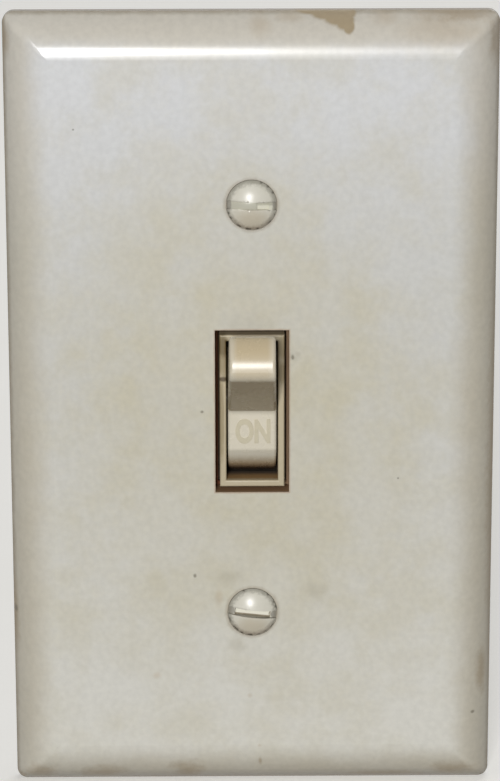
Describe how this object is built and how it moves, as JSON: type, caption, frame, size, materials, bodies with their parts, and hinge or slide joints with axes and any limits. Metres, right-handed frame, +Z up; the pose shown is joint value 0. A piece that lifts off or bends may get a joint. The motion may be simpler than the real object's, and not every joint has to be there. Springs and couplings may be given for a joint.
{
  "type": "toggle light switch",
  "caption": "Single-pole toggle light switch on its mounting strap, with a bevelled one-gang wall plate, screws and a rocking contact inside the housing.",
  "frame": {"origin": "centre of the wall plate in the wall plane, midway between the two box screws", "axes": "+Z up, +X right as seen from the room, +Y into the wall, so the room is at -Y"},
  "size_m": [0.0698, 0.0416, 0.1142],
  "materials": {
    "aged_urea_plate": "satin, aged and soiled",
    "painted_screw": "worn enamel",
    "zinc_steel": "zinc plated",
    "fibre": "plain",
    "ivory_thermoset": "satin, soiled",
    "dark_thermoset": "satin",
    "ivory_lever": "semi-gloss, worn",
    "spring_steel": "bright",
    "nylon": "smooth",
    "brass": "rolled",
    "contact_silver": "bright",
    "green_screw": "dyed zinc"
  },
  "bodies": {
    "housing": {"wall_plate": "aged_urea_plate", "plate_screw_top": "painted_screw", "plate_screw_bottom": "painted_screw", "mounting_strap": "zinc_steel", "box_screw_top": "zinc_steel", "box_screw_bottom": "zinc_steel", "screw_retainer_top": "fibre", "screw_retainer_bottom": "fibre", "switch_cover": "ivory_thermoset", "switch_base": "dark_thermoset", "housing_rivet_top": "zinc_steel", "housing_rivet_bottom": "zinc_steel", "rocker_pin": "spring_steel", "fixed_contact": "contact_silver", "line_terminal": "brass", "load_terminal": "brass", "terminal_screw_line": "brass", "terminal_screw_load": "brass", "ground_screw": "green_screw"},
    "toggle": {"toggle_lever": "ivory_lever", "toggle_spring": "spring_steel", "spring_plunger": "nylon"},
    "rocker": {"contact_rocker": "brass", "moving_contact": "contact_silver"}
  },
  "joints": [
    {"name": "toggle_hinge", "type": "hinge", "parent": "housing", "child": "toggle", "pos_m": [0, 0.0024, 0], "axis": [1, 0, 0], "range_deg": [0, 63]},
    {"name": "rocker_hinge", "type": "hinge", "parent": "housing", "child": "rocker", "pos_m": [0, 0.0174, 0], "axis": [1, 0, 0], "range_deg": [-12, 0]}
  ],
  "couplings": [
    {"joint": "rocker_hinge", "follows": "toggle_hinge", "ratio": -0.19048}
  ]
}
